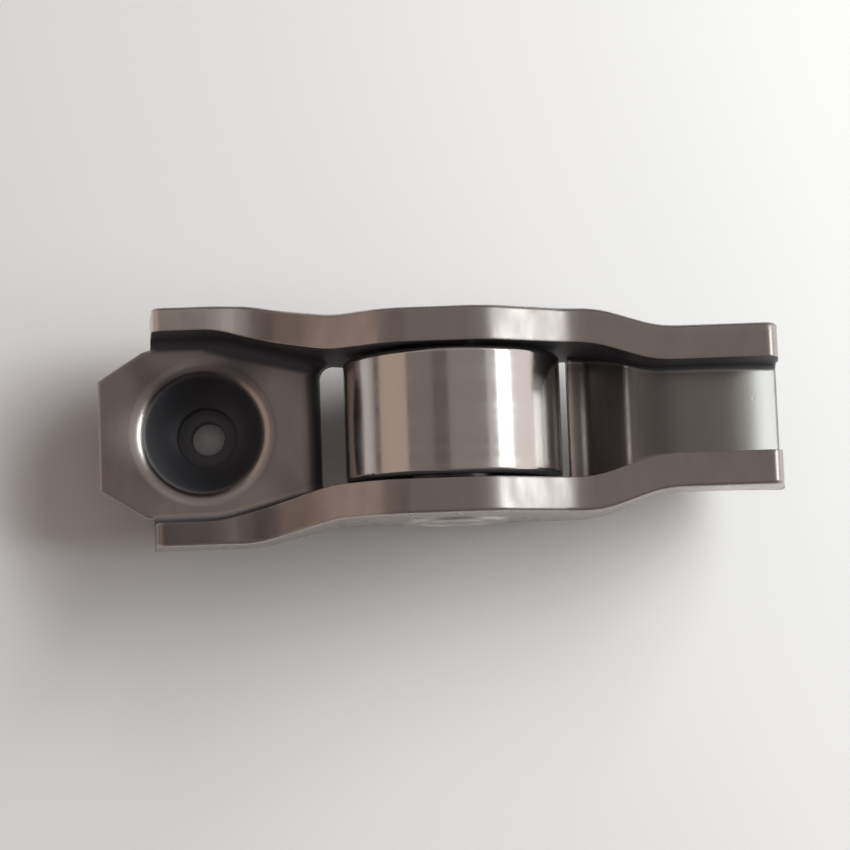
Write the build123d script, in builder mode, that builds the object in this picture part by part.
from build123d import *
from math import atan2, cos, pi, sin, sqrt, tan
import os

# Roller finger follower: a lever pressed from one steel sheet, with a roller on needles in its middle.
# Origin: centre of the pivot ball that sits in the drawn socket.
# +X runs along the arm to the valve, +Z comes out of the arm's open side, +Y is across the arm.

# ---- Driving dimensions, millimetres ----

# Layout of the arm
pivot_to_roller = 19.8
pivot_to_pad = 38.6
rest_depth = 6.6
pad_crown_height = 2.5
arm_end = 45.5
plate_end = -8.3
plate_shoulder = -4.8
wall_root = -4.0

# Sheet
sheet = 2.65
ironed_wall = 1.85
drawn_web = 2.5
web_top = -0.3
inner_fold = 1.1
outer_fold = 2.3
edge_break = 0.3

# Ball socket
ball_radius = 4.65
socket_lip = 1.5
dome_wall = 2.2
dome_blend = 0.8
relief_radius = 2.4
floor_thickness = 1.5
oil_hole_radius = 1.35

# Roller, axle and needles
roller_radius = 8.5
roller_width = 9.7
roller_rounding = 0.45
roller_side_gap = 0.33
bore_chamfer = 0.3
needle_count = 18
needle_radius = 0.8
needle_play = 0.03
needle_end_gap = 0.15
needle_chamfer = 0.2
running_clearance = 0.02
stake_flare = 0.35
stake_proud = 0.2
stake_groove_radius = 2.7
stake_groove_width = 0.5
stake_groove_depth = 0.4

# Window that the roller turns in
window_gap_pivot = 2.0
window_gap_valve = 0.9
window_edge_rounding = 1.2

# Plan of the arm
socket_half_width = 9.3
stem_slot_half_width = 3.6
socket_shoulder = 4.2
waist_start = 10.8
waist_end = 31.0
pad_shoulder = 35.8
plan_bend = 9.0
plate_root_clearance = 0.15
plate_shoulder_inset = 0.25
nose_chamfer_width = 2.2

# Height of the side walls' free edges
tip_height = 5.05
valley_height = 4.1
crown_over_roller = 0.2
guide_height = 7.0
tip_lean = 0.7
guide_lean = 0.7

tip_end = 1.5
valley = 5.2
crown_start = 14.8
crown_end = 22.4
guide_start = 29.0
wave_bend = 5.0
tip_corner = 0.9
end_corner = 1.0
underside_bend = 9.0

# Ramp and valve pad
pad_radius = 15.5
pad_reach = 4.9
foot_length = 1.3
foot_top = -2.1
crest_rounding = 1.9
foot_rounding = 1.6
pad_corner_fold = 0.45

# ---- Sizes worked out from the driving dimensions ----

roller_axis_height = roller_radius - rest_depth
crown_height = roller_axis_height + roller_radius + crown_over_roller
web_bottom = web_top - sheet
foot_bottom = foot_top - drawn_web
roller_half_width = roller_width / 2 + roller_side_gap + sheet
pad_half_width = stem_slot_half_width + sheet
plate_root_half_width = socket_half_width - outer_fold - plate_root_clearance
plate_side_half_width = plate_root_half_width - plate_shoulder_inset
plate_nose_half_width = plate_side_half_width - nose_chamfer_width
window_start = pivot_to_roller - roller_radius - window_gap_pivot
window_end = pivot_to_roller + roller_radius + window_gap_valve
pitch_radius = (needle_radius + needle_play / 2) / sin(pi / needle_count)
axle_radius = pitch_radius - needle_radius - running_clearance
ring_bore_radius = pitch_radius + needle_radius + running_clearance
dome_radius = ball_radius + dome_wall
relief_floor = floor_thickness - rest_depth
ramp_foot = window_end + foot_length
pad_centre_height = pad_crown_height - pad_radius
pad_start = pivot_to_pad - pad_reach
pad_start_height = pad_centre_height + sqrt(pad_radius**2 - pad_reach**2)
block = 60
tiny = 0.01

# ---- Outlines that the lever's operations share ----


def arm_plan(stations):
    """Plan area between two mirrored sides that run through (x, half width) stations."""
    start = stations[0]
    end = stations[-1]
    with BuildSketch() as plan:
        with BuildLine():
            FilletPolyline(*stations, radius=plan_bend)
            Polyline(end, (end[0], 0), (start[0], 0), start)
        make_face()
        mirror(about=Plane.XZ)
    return plan.sketch


# Outside of the two side walls
outer_plan = arm_plan([
    (wall_root, socket_half_width),
    (socket_shoulder, socket_half_width),
    (waist_start, roller_half_width),
    (waist_end, roller_half_width),
    (pad_shoulder, pad_half_width),
    (arm_end, pad_half_width),
])

# Inside of the two side walls, one sheet further in, and ironed thinner beside the socket
valve_bend = atan2(roller_half_width - pad_half_width, pad_shoulder - waist_end)
bend_shift = sheet * tan(valve_bend / 2)
inner_plan = arm_plan([
    (plate_end - sheet, socket_half_width - ironed_wall),
    (socket_shoulder - sheet, socket_half_width - ironed_wall),
    (waist_start - bend_shift, roller_half_width - sheet),
    (waist_end - bend_shift, roller_half_width - sheet),
    (pad_shoulder - bend_shift, pad_half_width - sheet),
    (arm_end + sheet, pad_half_width - sheet),
])

# Everything below the top of the ramp and the valve pad, in side view
with BuildSketch(Plane.XZ) as under_pad:
    with BuildLine():
        Polyline(
            (pivot_to_pad + pad_radius, pad_centre_height),
            (pivot_to_pad + pad_radius, -block),
            (0, -block),
            (0, foot_top),
            (ramp_foot, foot_top),
            (pad_start, pad_start_height),
        )
        ThreePointArc(
            (pad_start, pad_start_height),
            (pivot_to_pad, pad_crown_height),
            (pivot_to_pad + pad_radius, pad_centre_height),
        )
    make_face()
    crest = under_pad.vertices().sort_by_distance((pad_start, pad_start_height))[0]
    fillet(crest, crest_rounding)
    foot = under_pad.vertices().sort_by_distance((ramp_foot, foot_top))[0]
    fillet(foot, foot_rounding)

# The same, lower by the thickness that the web keeps where it is drawn
with BuildSketch(Plane.XZ) as under_sheet:
    add(under_pad.sketch_local)
    offset(amount=-drawn_web, mode=Mode.REPLACE)
    crest = under_sheet.vertices().sort_by_distance((pad_start, pad_start_height))[0]
    fillet(crest, crest_rounding)

# ---- Channel: the open space between the walls, above the web ----

with BuildPart() as channel:
    with BuildSketch(Plane.XZ) as above_web:
        with BuildLine():
            Polyline(
                (plate_end - sheet, web_top),
                (window_start, web_top),
                (window_start, foot_top),
                (arm_end + sheet, foot_top),
                (arm_end + sheet, block / 2),
                (plate_end - sheet, block / 2),
                close=True,
            )
        make_face()
        add(under_pad.sketch_local, mode=Mode.SUBTRACT)
        with Locations((window_start, foot_top)):
            Rectangle(window_end - window_start, block / 2, align=(Align.MIN, Align.MAX))
        plate_edge = above_web.vertices().sort_by_distance((window_start, web_top))[0]
        fillet(plate_edge, window_edge_rounding)
    extrude(amount=block / 2, both=True)
    with BuildSketch(Plane.XY.offset(-block / 2)):
        add(inner_plan)
    extrude(amount=block, mode=Mode.INTERSECT)

    # Bend between the web and the walls, beside the socket and down the edge of the window
    web_edges = channel.edges().filter_by_position(Axis.Z, web_top - tiny, web_top + tiny)
    fillet(web_edges.filter_by(Axis.Y, reverse=True), inner_fold)

    # Tight corners between the ramp, the valve pad and the walls
    pad_edges = channel.edges().filter_by_position(Axis.Z, foot_top - tiny, pad_crown_height + tiny)
    pad_edges = pad_edges.filter_by_position(Axis.X, window_end - tiny, arm_end + sheet + tiny)
    pad_edges = pad_edges.filter_by(Axis.Y, reverse=True).filter_by(Axis.Z, reverse=True)
    fillet(pad_edges, pad_corner_fold)

# ---- Lever body: one pressing ----

with BuildPart() as lever_body:
    # Side view: free edges of the walls above, underside of the web below
    with BuildSketch(Plane.XZ) as side_view:
        with BuildLine():
            FilletPolyline(
                (plate_end, web_top),
                (wall_root, web_top),
                (wall_root + tip_lean, tip_height),
                (tip_end, tip_height),
                (valley, valley_height),
                (crown_start, crown_height),
                (crown_end, crown_height),
                (guide_start, guide_height),
                (arm_end - guide_lean, guide_height),
                (arm_end, pad_crown_height),
                (arm_end, foot_bottom),
                (window_end, foot_bottom),
                (window_start, web_bottom),
                (plate_end, web_bottom),
                radius=[
                    0, tip_corner, wave_bend, wave_bend, wave_bend, wave_bend, wave_bend, end_corner,
                    0, 0, underside_bend, underside_bend,
                ],
            )
            Line((plate_end, web_bottom), (plate_end, web_top))
        make_face()
        add(under_sheet.sketch_local, mode=Mode.SUBTRACT)
    extrude(amount=block / 2, both=True)

    # Plan view: walls, and the chamfered nose of the plate
    with BuildSketch(Plane.XY.offset(-block / 2)):
        add(outer_plan)
        with BuildLine():
            Polyline(
                (wall_root, -plate_root_half_width),
                (plate_shoulder, -plate_side_half_width),
                (plate_end, -plate_nose_half_width),
                (plate_end, plate_nose_half_width),
                (plate_shoulder, plate_side_half_width),
                (wall_root, plate_root_half_width),
                close=True,
            )
        make_face()
    extrude(amount=block, mode=Mode.INTERSECT)

    # Outer bend between the web and the walls
    underside = lever_body.edges().filter_by_position(Axis.Z, -block, web_top + tiny)
    underside = underside.filter_by_position(Axis.X, wall_root + tiny, arm_end - tiny)
    underside = underside.filter_by(Axis.Y, reverse=True).filter_by(Axis.Z, reverse=True)
    fillet(underside, outer_fold)

    # Broken edges round the nose of the plate
    nose_edges = lever_body.edges().filter_by_position(Axis.X, plate_end - tiny, wall_root - tiny)
    nose_edges = nose_edges.filter_by(Axis.Z, reverse=True)
    fillet(nose_edges, edge_break)

    # Broken edges along the outside of the walls' free edges
    free_edges = lever_body.edges().filter_by_position(Axis.Z, valley_height, block)
    free_edges = free_edges.filter_by_position(Axis.X, wall_root - tiny, arm_end + tiny)
    free_edges = free_edges.filter_by(Axis.Y, reverse=True).filter_by(Axis.Z, reverse=True)
    fillet(free_edges, edge_break)

    # Channel between the walls
    add(channel.part, mode=Mode.SUBTRACT)

    # Broken edge across the end of the valve pad
    end_face = lever_body.faces().sort_by(Axis.X)[-1]
    end_edges = end_face.edges().filter_by(lambda edge: abs(edge.center().Y) < tiny)
    fillet(end_edges.sort_by(Axis.Z)[-1], edge_break)

    # Drawn dome below the plate, blended into it and flattened round the oil hole
    blend_radius = sqrt((dome_radius + dome_blend)**2 - (web_bottom - dome_blend)**2)
    blend_share = dome_radius / (dome_radius + dome_blend)
    blend_end = (blend_radius * blend_share, (web_bottom - dome_blend) * blend_share)
    flat_radius = sqrt(dome_radius**2 - rest_depth**2)
    with BuildSketch(Plane.XZ):
        with BuildLine():
            RadiusArc((blend_radius, web_bottom), blend_end, -dome_blend)
            RadiusArc(blend_end, (flat_radius, -rest_depth), dome_radius)
            Polyline(
                (flat_radius, -rest_depth),
                (0, -rest_depth),
                (0, web_top),
                (blend_radius, web_top),
                (blend_radius, web_bottom),
            )
        make_face()
    revolve(axis=Axis.Z)

    # Ball cup with a rounded lip, its relief and the oil hole
    lip_radius = sqrt((ball_radius + socket_lip)**2 - (web_top - socket_lip)**2)
    lip_share = ball_radius / (ball_radius + socket_lip)
    lip_end = (lip_radius * lip_share, (web_top - socket_lip) * lip_share)
    relief_top = -sqrt(ball_radius**2 - relief_radius**2)
    with BuildSketch(Plane.XZ):
        with BuildLine():
            RadiusArc((lip_radius, web_top), lip_end, -socket_lip)
            RadiusArc(lip_end, (relief_radius, relief_top), ball_radius)
            Polyline(
                (relief_radius, relief_top),
                (relief_radius, relief_floor),
                (0, relief_floor),
                (0, ball_radius),
                (lip_radius, ball_radius),
                (lip_radius, web_top),
            )
        make_face()
    revolve(axis=Axis.Z, mode=Mode.SUBTRACT)
    with BuildSketch(Plane.XY.offset(-rest_depth)):
        Circle(oil_hole_radius)
    extrude(amount=rest_depth, mode=Mode.SUBTRACT)

    # Bores for the axle, flared at the outer faces where its ends are staked
    with BuildSketch(Plane.XZ):
        with Locations((pivot_to_roller, roller_axis_height)):
            Circle(axle_radius)
    extrude(amount=block / 2, both=True, mode=Mode.SUBTRACT)
    rims = lever_body.edges().filter_by(GeomType.CIRCLE)
    rims = rims.filter_by(lambda rim: abs(rim.radius - axle_radius) < tiny).sort_by(Axis.Y)
    chamfer([rims[0], rims[-1]], stake_flare)

lever_body.part.label = "lever_body"

# ---- Axle: a pin across the walls, its ends staked out into the flared bores ----

axle_end = roller_half_width + stake_proud
with BuildPart() as roller_axle:
    with BuildSketch(Plane.XY.offset(roller_axis_height)) as axle_section:
        with BuildLine():
            Polyline(
                (pivot_to_roller, 0),
                (pivot_to_roller + axle_radius, 0),
                (pivot_to_roller + axle_radius, roller_half_width - stake_flare),
                (pivot_to_roller + axle_radius + stake_flare, roller_half_width),
                (pivot_to_roller + axle_radius + stake_flare - stake_proud, axle_end),
                (pivot_to_roller + stake_groove_radius + stake_groove_width, axle_end),
                (pivot_to_roller + stake_groove_radius, axle_end - stake_groove_depth),
                (pivot_to_roller + stake_groove_radius - stake_groove_width, axle_end),
                (pivot_to_roller, axle_end),
                close=True,
            )
        make_face()
    revolve(axis=Axis((pivot_to_roller, 0, roller_axis_height), (0, 1, 0)))
    mirror(about=Plane.XZ)

roller_axle.part.label = "roller_axle"

# ---- Roller ring: the cam lobe runs on it ----

with BuildPart() as roller_ring:
    with BuildSketch(Plane.XZ):
        with Locations((pivot_to_roller, roller_axis_height)):
            Circle(roller_radius)
            Circle(ring_bore_radius, mode=Mode.SUBTRACT)
    extrude(amount=roller_width / 2, both=True)
    ring_edges = roller_ring.edges().filter_by(GeomType.CIRCLE).group_by(SortBy.RADIUS)
    fillet(ring_edges[-1], roller_rounding)
    chamfer(ring_edges[0], bore_chamfer)

roller_ring.part.label = "roller_ring"

# ---- Needles: a full set round the axle, with no cage ----

needle_length = roller_width - 2 * needle_end_gap
needles = []
for index in range(needle_count):
    angle = 2 * pi * index / needle_count
    with BuildPart() as needle:
        with BuildSketch(Plane.XZ):
            with Locations((
                pivot_to_roller + pitch_radius * cos(angle),
                roller_axis_height + pitch_radius * sin(angle),
            )):
                Circle(needle_radius)
        extrude(amount=needle_length / 2, both=True)
        chamfer(needle.edges().filter_by(GeomType.CIRCLE), needle_chamfer)
    needle.part.label = f"needle_{index + 1:02d}"
    needles.append(needle.part)

# ---- Export ----

os.makedirs("parts", exist_ok=True)
for piece in [lever_body.part, roller_axle.part, roller_ring.part, *needles]:
    export_step(piece, f"parts/{piece.label}.step")
